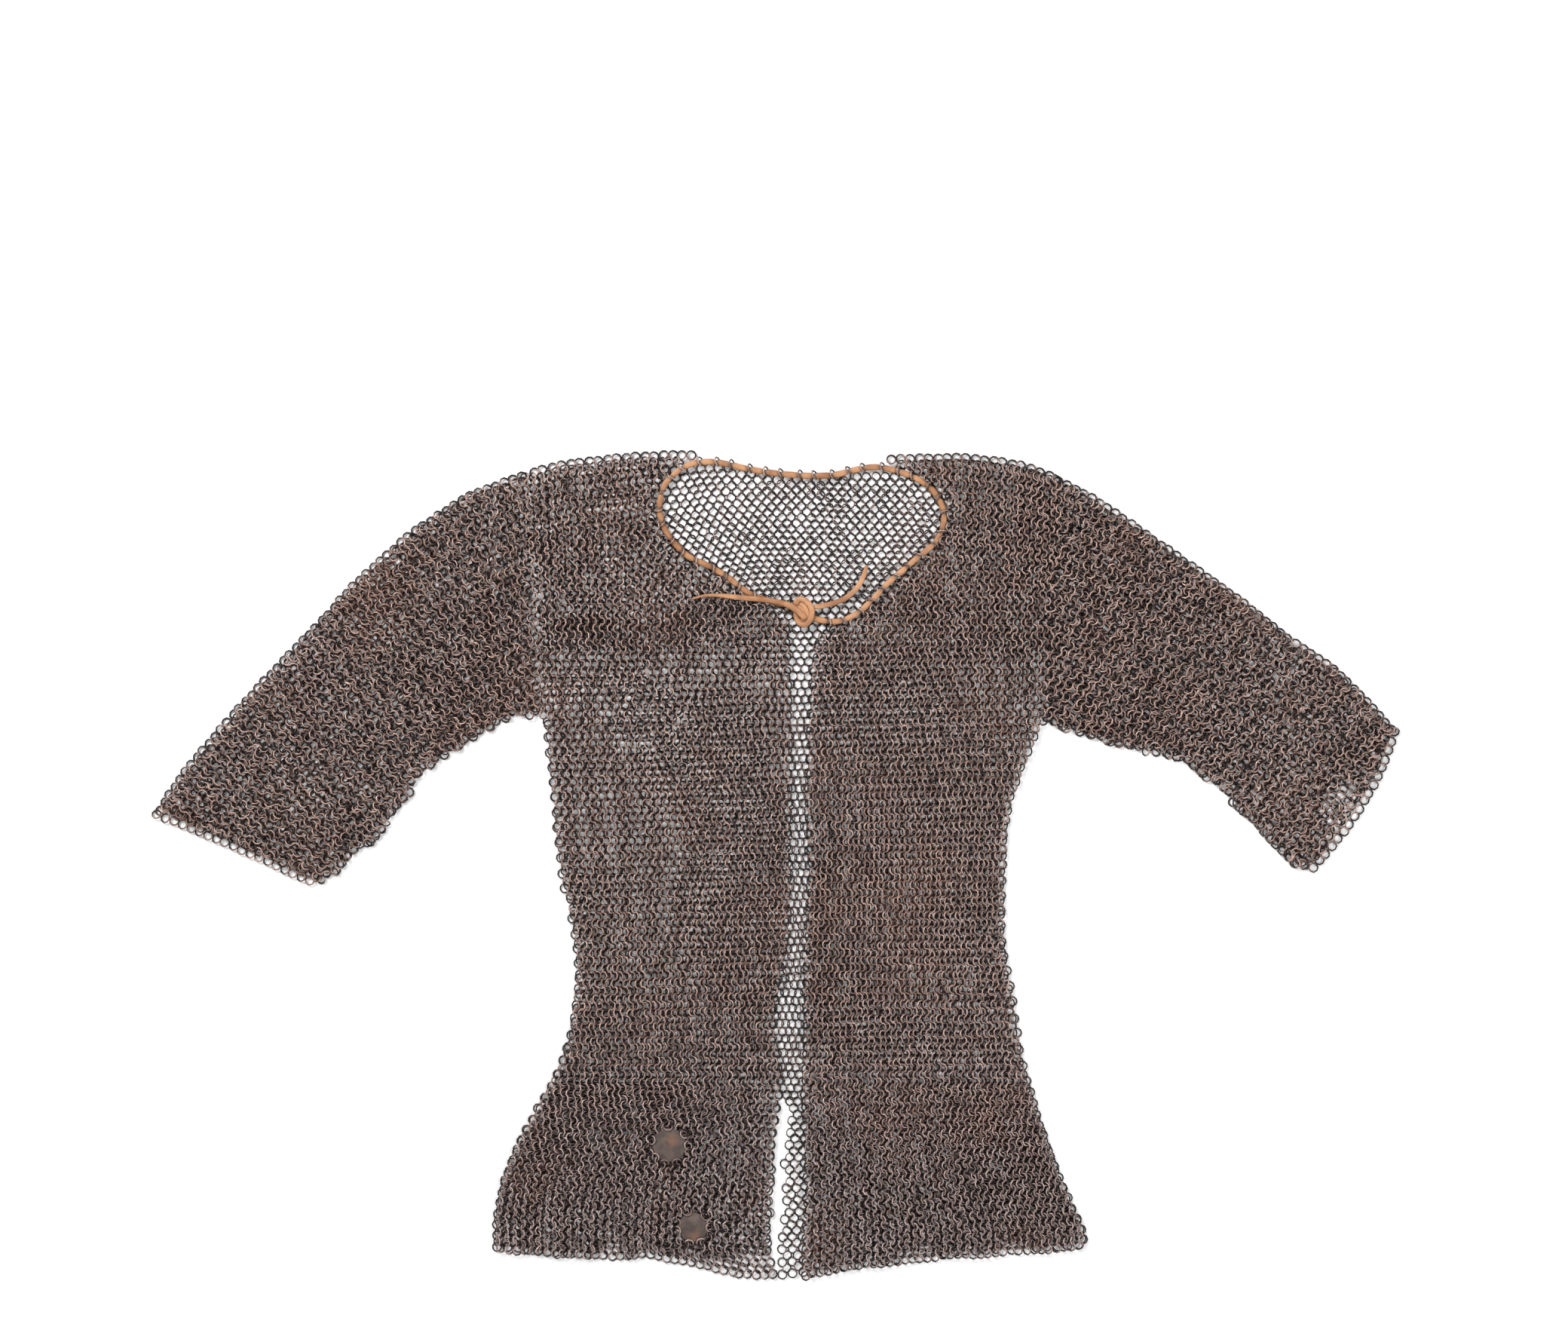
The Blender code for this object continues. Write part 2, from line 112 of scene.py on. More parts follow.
# How the rings lie
MAIL = 3.8 * MM  # thickness of one layer
LOWEST = 0.05 * MM  # no wire lies lower than this above the ground
RAISED = 0.4 * MM  # the upper layer stands this much proud of its solid
SHADE_AND_WEAR_RISE = 2.0 * MM  # above its middle, over which a ring turns from painted shade below to rubbed, bright iron on top
LOWER_LAYER_SHADE = 0.45  # how much more painted shade the lower layer gets
TILTS = {"top": math.radians(25), "under": math.radians(17)}  # how far the rings lean over each other
INSET = RING_RADIUS + WIRE_WIDTH / 2 - 0.6 * MM  # from a panel's edge to the middle of its last ring
KEEP_IN = {"top": 1.7 * MM, "under": 2.8 * MM}  # a ring nearer than this to an edge is left out
SEAM_WIDTH = 0.7 * MM  # a gap narrower than this is a seam between panels
DRIFTS = ((1.6 * MM, 48 * MM), (0.9 * MM, 15 * MM))  # how far the lattice wanders, and over what length
DRIFT_SEEDS = {"top": 131.0, "under": 31.0}
FRONT_DISORDER = 1.4  # how unevenly the rings lie
SLEEVE_DISORDER = 3.0
RING_WANDER = 0.3 * MM  # how far a ring lies out of its place, and how much it turns, rolls and tilts
RING_TURN = 0.13
RING_ROLL = 0.05
RING_TILT = 0.27

# The folds and the cuffs, where the rings stand open
LEAN = 0.5  # how far a ring near a fold turns over it
LEAN_REACH = 14 * MM
LEAN_DROP = 1.6 * MM  # the upper layer's rings drop by this, times their lean squared
LEAN_RISE = 0.5 * MM  # and the lower layer's rise by this
EDGE_SPACING = 8.6 * MM  # between the rings that turn over a fold, and those that end a cuff
EDGE_CLEAR = 7.6 * MM  # the rows keep this far from a fold, where its own rings lie
EDGE_LEAN = 0.3  # how far the fold's own rings turn
EDGE_TILT = (9, 4)  # and tilt, in degrees, with how much that varies
EDGE_WANDER = 0.35 * MM
EDGE_SHARE = 0.33  # they lie at this share of the garment's height there
EDGE_RISE = 0.6 * MM

# The pitch of the body's rows, at heights
FRONT_PITCHES = [(120, 5.8), (270, 7.0), (480, 7.1), (560, 6.7), (650, 6.4), (772, 5.9)]
BACK_PITCHES = [(140, 6.0), (250, 7.1), (560, 7.1), (620, 5.4), (772, 5.3)]
RIGHT_COLUMNS = 35
LEFT_COLUMNS = 37
BACK_COLUMNS = 58

# Places on the body
GARMENT_HEIGHT = 772  # hem to shoulder
NECK_START = 600  # the front edges are straight up to here
SHOULDER_END = 748  # the armhole seams end here
SHOULDER_START = 93  # the shoulder's fold runs outward from here
SHOULDER_TIP = 243  # to here
FOLD_LIMIT = 236  # the fold's height is read as far out as this
SEAM_OUT = 238  # the back's columns are read from here
ARMPIT = 520
SIDE_HEM = 46  # the sides are upright below this height
HEM_REACH = 190  # the rows follow the hem below this height
FOLD_REACH = 130  # and the shoulder this far below it
NECK_TOP = 745  # near the middle, the fronts end at this height
NECK_BACK = [  # and the back ends here: places across, and the height
    (-96, 758), (-76, 761), (-60, 760), (-43, 756), (-20, 752), (20, 749), (57, 754), (76, 756),
    (98, 755),
]
VENT_TOP = (1, 183, 13, 13)  # the back's rings close the vent here: the middle across and up, and the reach

# How the back's rows are turned inside the neck: their slope at places across, its share at heights, and the
# height that they turn about
NECK_SLOPES = [(-165, 0), (-125, 0.19), (-65, 0.19), (15, -0.02), (150, -0.09), (200, 0)]
NECK_SHARES = [(590, 0), (640, 1), (725, 1), (772, 0)]
NECK_LEVEL = 690
NECK_LIFT = -19  # of the rows' first ends
SLOPE_STEP = 5

# How they lie behind the fronts: their slope, and how much closer the middle columns stand, at heights
BACK_TURN = [(190, 0), (270, 0.035), (540, 0.035), (610, 0)]
MIDDLE_SQUEEZE = [(150, 0), (230, 0.17), (540, 0.17), (610, 0)]

# How far the fronts' rings stand over their edges along the opening, at heights
OPENING_CREEP = [(185, 0), (215, 1.5), (590, 1.5), (600, 0)]

# Where the hem is drawn up, at places across
HEM_LIFTS = [
    (-212, 0), (-200, 2), (-170, 2.5), (-152, 5), (-135, 8.5), (-118, 5.5), (-84, 3), (-67, 0), (-33, 0),
    (-16, 2.5), (18, 2), (52, 4), (69, 5), (87, 3), (104, 5.5), (130, 3.5), (155, 6), (172, 4), (200, 2),
    (223, 0),
]

# Patches where the lower layer lacks rings: the middle across and up, the reach across and up, and the share
# of rings gone
THIN_PATCHES = [
    (513, 434, 20, 34, 1), (-167, 26, 15, 15, 1), (-132, 24, 12, 12, 1), (-36, 20, 22, 12, 1),
    (-112, 27, 22, 6, 1), (-78, 22, 18, 6.5, 1), (-54, 15, 17, 6.5, 1), (124, 24, 20, 13, 1),
    (206, 28, 16, 12, 1), (-139, 535, 40, 48, 0.1), (450, 580, 20, 26, 0.3), (161, 663, 22, 26, 0.12),
    (80, 600, 24, 16, 0.15), (-225, 640, 26, 60, 0.15), (-330, 655, 30, 26, 0.15),
    (140, 250, 40, 60, 0.1), (-90, 420, 30, 60, 0.08),
]
SINK_MARGIN = 8  # the upper layer sinks to the ground from this far outside a bare patch
SINK_RATE = 2.2
SUNK_LEVEL = MAIL / 2 + 0.5 * MM  # the middle of a sunken ring

# Sections of each sleeve, from the armhole to the cuff: the end on the top fold, the end on the lower fold,
# and how far the middle bows towards the hand
SLEEVE_RIGHT = [
    (246.4, 756.5, 231.4, 526.5, 0),
    (302, 736, 253, 525, 0),
    (355, 701, 281, 512, 0),
    (404, 657, 313, 491, 0),
    (446, 612, 340, 472, 0),
    (491, 565, 353, 448, 0),
    (533, 519, 376, 418, 0),
    (568, 476, 407, 389, 0),
    (596, 435, 439, 368, -2),
]
SLEEVE_LEFT = [
    (244.4, 752.5, 232.4, 515.5, 0),
    (277, 736, 261, 510, 0),
    (320, 708, 293, 498, 2),
    (370, 673, 335, 489, 3),
    (419, 638, 370, 477, 4),
    (464, 603, 398, 453, 5),
    (506, 575, 422, 426, 7),
    (541, 540, 450, 397, 9),
    (564, 514, 477, 376, 12),
]
SLEEVE_TOP = (6.3 * MM, 6.3 * MM)  # a ring's share of its row along the sleeve, and the rows' pitch
SLEEVE_UNDER = (8.2 * MM, 6.3 * MM)
SLEEVE_WIDEST = 0.25  # neither sleeve is as wide as this
FIRST_ROW = EDGE_CLEAR + 1.6 * MM  # from the top fold
LAST_ROW = INSET + 1.2 * MM  # from the lower fold
ROW_START = 4.4 * MM  # from the armhole
CUFF_CLEAR = 2 * MM  # the rows stop this much shorter of a cuff than of a fold

# The thong's path round the neck, and its free ends with the height of their centre lines above the ground
THONG_LOOP = [
    (0, 629), (-8, 632), (-22, 635.5), (-39, 642), (-50, 650), (-62, 659), (-78, 668), (-95, 676),
    (-107, 687), (-117, 701), (-122, 715), (-122, 727), (-118, 742), (-107, 754), (-93, 762), (-76, 764),
    (-60, 762), (-43, 758), (-20, 754), (0, 752), (20, 751), (41, 752), (57, 756), (76, 759), (92, 757),
    (111, 751), (125, 743), (135, 732), (141, 718), (140, 703), (133, 689), (118, 676), (104, 664),
    (90, 652), (76, 637), (63, 625), (49, 617.5), (36, 616), (24, 618), (18, 620),
]
THONG_END_RIGHT = [
    (1.5, 630, 10.2), (-8, 633, 10.2), (-25, 636, 9.9), (-46, 638, 9.9), (-66, 640, 9.9), (-80, 640, 9.9),
    (-92, 637, 9.9),
]
THONG_END_LEFT = [
    (21.5, 629.5, 8.6), (32, 631, 7), (47, 636, 5.8), (59, 645, 5.8), (66, 656, 5.8), (70, 668, 5.8),
]
THONG_WIDTH = 5.0 * MM
THONG_THICKNESS = 3.0 * MM
THONG_LEVEL = 5.6  # of the loop's centre line
THONG_SIDES = 12
THONG_STEP = 1.2 * MM
CREASE_WIDTH = 0.45  # of the crease along its upper side, as an angle
LOOP_FULLNESS = 1.14
CURVE_STEPS = 12

# The rings that the thong is laced through
LACING_SPACING = 15.5 * MM
LACING_START = 6 * MM
LACING_END = 8 * MM
LACING_OUTWARD = 0.9 * MM  # from the thong's middle to the middle of a ring
GRIP_REACH = 2.2 * MM
GRIP_DEPTH = 0.34  # how much the thong narrows in a ring
RING_SHADE_STRENGTH = 0.85  # and how much painted shade darkens it there
NECK_MIDDLE = (10, 690)

# The knot's strands: across, up, and the height of the strand's middle above the ground
KNOT_BAND = [
    (3, 631, 6.8), (7, 636.4, 8), (12.5, 635.4, 9.6), (17.6, 630.5, 10), (19, 624, 9.6),
    (17.2, 617.5, 8.8), (12.5, 613, 8), (7.6, 614.6, 7.2), (4.6, 620.5, 6.6), (5, 627, 6.2),
]
KNOT_INNER = [
    (7.5, 633, 7.8), (12.3, 629.5, 8.6), (14.6, 624, 8.8), (13.2, 618.6, 8.2), (9.6, 617, 7.2),
]
KNOT_OVER = [
    (-7, 633, 10.2), (0, 629.8, 10.6), (6, 625.4, 11.2), (10.2, 621.6, 11.4), (13.2, 618.4, 10.8),
]
KNOT_CORE = [(6, 631, 6.6), (9.5, 626.5, 7.4), (11.5, 621.5, 7.6), (11.5, 616, 7)]
KNOT_STRANDS = {  # each with a size of its own
    "band": (KNOT_BAND, 1.1),
    "inner": (KNOT_INNER, 0.9),
    "over": (KNOT_OVER, 1.18),
    "core": (KNOT_CORE, 1.4),
}

# The discs: how many rings hold each by its rim, and where its stain lies from its middle, in metres
DISCS = {"disc_upper": (7, (0.002, 0.004, 0)), "disc_lower": (6, (0.001, -0.008, 0))}
DISC_PROFILE = [  # shares of the radius and of the depth, from the top's middle round to the underside's
    (0, 1), (0.35, 0.96), (0.62, 0.84), (0.8, 0.68), (0.89, 0.56), (0.93, 0.58), (0.965, 0.56), (0.99, 0.46),
    (1, 0.32), (1, 0.14), (0.985, 0.03), (0.95, 0), (0, 0),
]
DISC_STEPS = 72
DISC_CLEAR = 0.5 * MM  # rings nearer than this to a disc lie flat and lower under it
DISC_SINK = 0.9 * MM
RIM_OUTWARD = 2.2 * MM
RIM_DROP = 0.9 * MM


def place(out, up):
    """A place on the garment in metres, from millimetres out and up."""
    return out * MM + CENTRE_X, up * MM + HEM_Y


def out_at(x):
    """How far out a place lies, in millimetres."""
    return (x - CENTRE_X) / MM


def up_at(y):
    """How far up a place lies, in millimetres."""
    return (y - HEM_Y) / MM


def looked_up(table, where):
    """The value at a place, from a table of places and values."""
    return np.interp(where, *zip(*table))


def from_patch(x, y, patch, margin=0):
    """Distance from the middle of an oval patch, which is 1 on its edge."""
    middle_out, middle_up, reach_out, reach_up = patch[:4]
    out_share = (out_at(x) - middle_out) / (reach_out + margin)
    return math.hypot(out_share, (up_at(y) - middle_up) / (reach_up + margin))


# Camera, floor and light


def add_object(name, data):
    """Puts an object into the scene."""
    made = bpy.data.objects.new(name, data)
    bpy.context.scene.collection.objects.link(made)
    return made


def make_camera():
    data = bpy.data.cameras.new("camera")
    data.lens = LENS
    data.sensor_width = SENSOR
    camera = add_object("camera", data)
    distance = PHOTO_WIDTH * METRES_PER_PIXEL * LENS / SENSOR
    camera.location = (*VIEW_CENTRE, distance)
    bpy.context.scene.camera = camera


def make_floor():
    corners = [(-4, -4, 0), (4, -4, 0), (-4, 4, 0), (4, 4, 0)]
    data = bpy.data.meshes.new("floor")
    data.from_pydata(corners, [], [(0, 1, 3, 2)])
    floor = add_object("floor", data)
    floor.location.z = -0.2 * MM
    material, tree, shader = new_material("paper")
    set_inputs(tree, shader, Base_Color=PAPER, Roughness=0.9)
    data.materials.append(material)
    floor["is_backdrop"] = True


def make_light(name, location, size, power):
    data = bpy.data.lights.new(name, "AREA")
    data.shape = "SQUARE"
    data.size = size
    data.energy = power
    light = add_object(name, data)
    light.location = location
    light.rotation_euler = (-light.location).to_track_quat("-Z", "Y").to_euler()


def make_lighting():
    world = bpy.data.worlds.new("studio")
    world.use_nodes = True
    tree = world.node_tree
    set_inputs(tree, tree.nodes["Background"], Color=(1, 1, 1, 1), Strength=0.6)
    bpy.context.scene.world = world
    make_light("key", (-1.3, 1.5, 2.2), size=1.3, power=100)
    make_light("fill", (1.6, -0.6, 2.0), size=1.3, power=42)
    bpy.context.scene.view_settings.view_transform = "Standard"


# Materials


def set_inputs(tree, made, **inputs):
    """Gives a shader node's inputs, by name or by number, a value or another node's output."""
    for name, value in inputs.items():
        socket = made.inputs[int(name[1:])] if name[0] == "_" else made.inputs[name.replace("_", " ")]
        if isinstance(value, bpy.types.NodeSocket):
            tree.links.new(value, socket)
        else:
            socket.default_value = value


def node(tree, kind, settings=None, **inputs):
    """Adds a shader node."""
    made = tree.nodes.new(kind)
    for name, value in (settings or {}).items():
        setattr(made, name, value)
    set_inputs(tree, made, **inputs)
    return made


def new_material(name):
    material = bpy.data.materials.new(name)
    material.use_nodes = True
    tree = material.node_tree
    return material, tree, tree.nodes["Principled BSDF"]


def object_place(tree):
    return node(tree, "ShaderNodeTexCoord").outputs["Object"]


def attribute(tree, name):
    return node(tree, "ShaderNodeAttribute", {"attribute_name": name}).outputs["Fac"]


def noise_value(tree, where, scale, detail=3.0):
    return node(tree, "ShaderNodeTexNoise", Vector=where, Scale=scale, Detail=detail).outputs["Fac"]


def distance_from(tree, where, spot):
    return node(tree, "ShaderNodeVectorMath", {"operation": "DISTANCE"}, _0=where, _1=spot).outputs["Value"]


def remap(tree, value, low, high, to_low=0.0, to_high=1.0):
    limits = {"From_Min": low, "From_Max": high, "To_Min": to_low, "To_Max": to_high}
    return node(tree, "ShaderNodeMapRange", Value=value, **limits).outputs["Result"]


def mixed(tree, share, first, second):
    """Colour between first and second. Each is a colour or another node's output."""
    first, second = ((*value, 1) if isinstance(value, tuple) else value for value in (first, second))
    return node(tree, "ShaderNodeMix", {"data_type": "RGBA"}, _0=share, _6=first, _7=second).outputs[2]


def calculated(tree, operation, first, second):
    return node(tree, "ShaderNodeMath", {"operation": operation}, _0=first, _1=second).outputs[0]


def bumped(tree, height, strength, distance):
    return node(tree, "ShaderNodeBump", Strength=strength, Distance=distance, Height=height).outputs[0]


def mail_material():
    """Old iron wire, brown or grey, with rust in patches. Painted shade, with some real patina, makes it
    nearly black low on each ring and over the lower layer; it is brightest on top, where it is also rubbed.
    """
    material, tree, shader = new_material("iron_mail")
    where = object_place(tree)
    tone = attribute(tree, "tone")
    speckle = noise_value(tree, where, 420, 4)
    level = node(tree, "ShaderNodeSeparateXYZ", Vector=where).outputs["Y"]
    greyed = remap(tree, level, place(0, GREY_LEVELS[0])[1], place(0, GREY_LEVELS[1])[1])
    bright = mixed(tree, greyed, mixed(tree, tone, *IRON_BROWN), mixed(tree, tone, *IRON_GREY))
    speckled = mixed(tree, remap(tree, speckle, 0.3, 0.7, 0, 0.5), bright, IRON_SPECKLE)
    # painted shade, partly real rubbing and patina: the worn attribute darkens low wire and the lower layer
    iron = mixed(tree, remap(tree, attribute(tree, "worn"), 0.0, 0.7), IRON_SHADE_AND_PATINA, speckled)
    spot = Vector((*place(*RUST_SPOT), 8 * MM))
    near_spot = remap(tree, distance_from(tree, where, spot), *RUST_REACH, 0.9, 0)
    patches = calculated(tree, "ADD", remap(tree, noise_value(tree, where, 11), 0.5, 0.72), near_spot)
    rust = calculated(tree, "MULTIPLY", patches, remap(tree, speckle, 0.4, 0.65, 0, 0.5))
    rough = remap(tree, speckle, 0.3, 0.7, 0.34, 0.6)
    set_inputs(tree, shader, Base_Color=mixed(tree, rust, iron, RUST), Metallic=0.5, Roughness=rough)
    return material


def leather_material():
    """Tan leather, stained, with painted shade where a ring's wire crosses it."""
    material, tree, shader = new_material("thong_leather")
    where = object_place(tree)
    stain = noise_value(tree, where, 60)
    grain = noise_value(tree, where, 700, 4)
    tan = mixed(tree, remap(tree, stain, 0.35, 0.65), *LEATHER)
    worn = mixed(tree, remap(tree, grain, 0.55, 0.75, 0, 0.5), tan, LEATHER_WORN)
    # painted shade where a ring's wire crosses the thong
    coloured = mixed(tree, attribute(tree, "ring_shade"), worn, LEATHER_RING_SHADE)
    relief = bumped(tree, grain, 0.4, 0.4 * MM)
    set_inputs(tree, shader, Base_Color=coloured, Roughness=0.5, Normal=relief)
    return material


def disc_material(middle, stained):
    """Dark patina, with an orange stain about a place on the disc."""
    material, tree, shader = new_material("disc_patina")
    where = object_place(tree)
    mottle = noise_value(tree, where, 130, 5)
    patina = mixed(tree, remap(tree, mottle, 0.35, 0.65), *PATINA)
    near_stain = remap(tree, distance_from(tree, where, middle + stained), 0.0, STAIN_REACH, 0.75, 0)
    stain = calculated(tree, "MULTIPLY", near_stain, remap(tree, mottle, 0.3, 0.6))
    coloured = mixed(tree, stain, patina, PATINA_STAIN)
    relief = bumped(tree, noise_value(tree, where, 900, 3), 0.35, 0.3 * MM)
    set_inputs(tree, shader, Base_Color=coloured, Metallic=0.35, Roughness=0.6, Normal=relief)
    return material


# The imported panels, as the lattice reads them


def node_edges(name):
    """Both ends of every edge of a node."""
    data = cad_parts[name].data
    points = np.array([vertex.co for vertex in data.vertices])
    ends = np.array([edge.vertices for edge in data.edges])
    return points[ends[:, 0]], points[ends[:, 1]]


def cut_extent(edges, axis, value):
    """Lowest and highest coordinate across, where a plane cuts a node."""
    start, end = edges
    cut = (start[:, axis] - value) * (end[:, axis] - value) < 0
    share = (value - start[cut, axis]) / (end[cut, axis] - start[cut, axis])
    across = start[cut, 1 - axis] + share * (end[cut, 1 - axis] - start[cut, 1 - axis])
    return across.min(), across.max()


class Cover:
    """What some nodes cover, seen from above."""

    def __init__(self, *names):
        points, faces = [], []
        for name in names:
            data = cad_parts[name].data
            first = len(points)
            points += [vertex.co.copy() for vertex in data.vertices]
            faces += [[first + index for index in face.vertices] for face in data.polygons]
        self.tree = BVHTree.FromPolygons(points, faces)

    def top(self, x, y):
        """Height of what lies highest there, or None."""
        hit = self.tree.ray_cast(Vector((x, y, 1.0)), Vector((0, 0, -1)))
        return None if hit[0] is None else hit[0].z

    def level(self, x, y):
        """Height of what lies highest there, or just beside it where a seam's gap lies there."""
        beside = ((0, 0), (SEAM_WIDTH, 0), (-SEAM_WIDTH, 0), (0, SEAM_WIDTH), (0, -SEAM_WIDTH))
        for move_x, move_y in beside:
            height = self.top(x + move_x, y + move_y)
            if height is not None:
                return height
        return 0.0

    def holds(self, x, y, reach):
        """Whether everything within reach of a place is covered."""
        for step in range(8):
            away = Vector((math.cos(math.tau * step / 8), math.sin(math.tau * step / 8)))
            tries = [away * reach, away * (reach - SEAM_WIDTH)]
            if all(self.top(x + move.x, y + move.y) is None for move in tries):
                return False
        return True


class Panel:
    """A body panel's edges, read from its node. It runs from its starting edge, at the opening or at the
    wearer's right side, to its far edge."""

    def __init__(self, name, side):
        edges = node_edges(name)
        low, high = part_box(name)
        self.side = side
        self.whole = name == "back"
        self.heights = np.arange(low.y + MM, high.y - MM, 3 * MM)
        extents = np.array([cut_extent(edges, 1, y) for y in self.heights])
        self.near, self.far = extents.T if side > 0 else extents.T[::-1]
        first = max(low.x, -place(SEAM_OUT, 0)[0]) if self.whole else low.x
        self.columns = np.arange(first + MM, high.x - MM, 3 * MM)
        self.hem, self.fold = np.array([cut_extent(edges, 0, x) for x in self.columns]).T

    def side_level(self, y):
        """The height at which a side edge is read, which is upright near the hem and at the armhole."""
        return np.clip(y, place(0, SIDE_HEM)[1], place(0, SHOULDER_END)[1])

    def near_at(self, y):
        if self.whole:
            return np.interp(self.side_level(y), self.heights, self.near)
        creep = looked_up(OPENING_CREEP, up_at(y)) * MM
        return np.interp(np.minimum(y, place(0, NECK_START)[1]), self.heights, self.near) - self.side * creep

    def far_at(self, y):
        return np.interp(self.side_level(y), self.heights, self.far)

    def hem_at(self, x):
        return np.interp(x, self.columns, self.hem)

    def fold_at(self, x):
        limit = FOLD_LIMIT * MM
        return np.interp(np.clip(x, CENTRE_X - limit, CENTRE_X + limit), self.columns, self.fold)


class Sleeve:
    """A sleeve's shape, read from its sections."""

    def __init__(self, rows, side):
        self.side = side
        self.rows = np.array(rows, float)
        middles = (self.rows[:, :2] + self.rows[:, 2:4]) / 2
        steps = np.linalg.norm(np.diff(middles, axis=0), axis=1)
        self.travelled = np.concatenate([[0], np.cumsum(steps)]) * MM
        self.length = self.travelled[-1]

    def area(self):
        """Area of one side of it."""
        widths = np.linalg.norm(self.rows[:, :2] - self.rows[:, 2:4], axis=1)
        return float(np.sum((widths[1:] + widths[:-1]) / 2 * np.diff(self.travelled)) * MM)

    def spots(self, travelled, from_top):
        """Places at distances from the armhole and the top fold, the width there, and the way across."""
        columns = [np.interp(travelled, self.travelled, column) for column in self.rows.T]
        top_out, top_up, under_out, under_up, bow = columns
        across = np.stack([under_out - top_out, under_up - top_up])
        width = np.linalg.norm(across, axis=0)
        across = across / width
        onward = np.stack([-across[1], across[0]])
        onward = onward * np.sign(onward[0])
        share = np.clip(from_top / MM / width, 0, 1)
        bowed = onward * bow * 4 * share * (1 - share)
        out, up = np.stack([top_out, top_up]) + across * from_top / MM + bowed
        x = self.side * out * MM + CENTRE_X
        y = up * MM + HEM_Y
        return x, y, width * MM, self.side * across[0], across[1]


# The lattice


def drifted(x, y, seed):
    """Moves places a little, by the same amount for neighbours."""
    moved_x, moved_y = np.array(x, float), np.array(y, float)
    for amount, size in DRIFTS:
        for index in range(len(moved_x)):
            spot = Vector((x[index], y[index], 0)) / size
            moved_x[index] += amount * noise.noise(spot + Vector((0, 0, seed)))
            moved_y[index] += amount * noise.noise(spot + Vector((0, 0, seed + 7.3)))
    return moved_x, moved_y


def fold_lean(distance):
    """How far a ring at this distance from a fold turns towards it."""
    return LEAN * np.clip(1 - distance / LEAN_REACH, 0, 1)


class Mail:
    """Rings of one piece of mail, gathered row by row. A ring is its centre, the way that it tilts about,
    the way that it faces, and its tilt."""

    def __init__(self, cover, layer, seed, disorder=1.0):
        self.cover = cover
        self.layer = layer
        self.random = np.random.default_rng(seed)
        self.disorder = disorder
        self.rings = []
        self.edge_rings = []

    def fits(self, x, y):
        """Whether a ring fits at a place."""
        if self.cover.holds(x, y, KEEP_IN[self.layer]):
            return True
        return self.layer == "under" and from_patch(x, y, VENT_TOP) < 1

    def sunk(self, x, y):
        """How far the upper layer drops to the ground where nothing lies below it, from 0 to 1."""
        bare = [patch for patch in THIN_PATCHES if patch[4] == 1]
        nearest = min(from_patch(x, y, patch, SINK_MARGIN) for patch in bare)
        return min(1.0, max(0.0, SINK_RATE * (1 - nearest)))

    def gone(self, x, y):
        """Whether the lower layer lacks its ring at a place."""
        if self.layer == "top":
            return False
        for patch in THIN_PATCHES:
            if from_patch(x, y, patch) < 1:
                return self.random.random() < patch[4]
        return False

    def lies(self, x, y, lean):
        """Height of a ring's centre, and the way that it faces."""
        if self.layer == "under":
            height = MAIL / 2 + LEAN_RISE * lean.length_squared
            return height, Vector((-lean.x * 0.6, -lean.y * 0.6, 1)).normalized()
        height = self.cover.level(x, y) - MAIL / 2 + RAISED - LEAN_DROP * lean.length_squared
        height += (SUNK_LEVEL - height) * self.sunk(x, y)
        return height, Vector((lean.x, lean.y, 1)).normalized()

    def add_row(self, x, y, lean_x, lean_y, odd, wanted):
        """Lays a row of rings through the given places, where they are wanted."""
        x, y = drifted(x, y, DRIFT_SEEDS[self.layer])
        along_x, along_y = np.gradient(x), np.gradient(y)
        tilt = TILTS[self.layer] * (1 if odd else -1)
        for index in range(len(x)):
            spot_x, spot_y = x[index], y[index]
            if not wanted[index] or not self.fits(spot_x, spot_y) or self.gone(spot_x, spot_y):
                continue
            height, normal = self.lies(spot_x, spot_y, Vector((lean_x[index], lean_y[index])))
            jitter = self.random.normal(size=6) * self.disorder
            wander = Vector((jitter[0], jitter[1], jitter[2] * 0.6)) * RING_WANDER
            along = Vector((along_x[index], along_y[index], 0)).normalized()
            across = Vector((-along.y, along.x, 0))
            along = (along + across * jitter[3] * RING_TURN).normalized()
            normal = (normal + across * jitter[4] * RING_ROLL).normalized()
            tilted = tilt * (1 + RING_TILT * jitter[5] / self.disorder**0.5)
            self.rings.append((Vector((spot_x, spot_y, height)) + wander, along, normal, tilted))

    def add_edge(self, x, y, outward_x, outward_y):
        """Lays a row of open rings along a fold or a cuff."""
        height = self.cover.level(float(x[len(x) // 2]), float(y[len(y) // 2])) * EDGE_SHARE + EDGE_RISE
        for index in range(len(x)):
            if self.cover.top(x[index], y[index]) is None:
                continue
            jitter = self.random.normal(size=5)
            outward = Vector((outward_x[index], outward_y[index], 0)).normalized()
            centre = Vector((x[index], y[index], height)) + Vector((*jitter[:2], 0)) * EDGE_WANDER
            normal = (Vector((0, 0, 1)) + outward * (EDGE_LEAN + 0.12 * jitter[2])).normalized()
            along = Vector((-outward.y, outward.x, 0)) + outward * 0.1 * jitter[3]
            tilt = (1 if index % 2 else -1) * math.radians(EDGE_TILT[0] + EDGE_TILT[1] * jitter[4])
            self.edge_rings.append((centre, along.normalized(), normal, tilt))


def row_heights(pitches):
    """Heights of a body panel's rows, from the hem to the shoulder, in metres above the hem."""
    heights = [0.0]
    while heights[-1] < GARMENT_HEIGHT:
        heights.append(heights[-1] + float(looked_up(pitches, heights[-1])))
    usable = GARMENT_HEIGHT * MM - 2 * INSET
    return [INSET + height / heights[-1] * usable for height in heights]


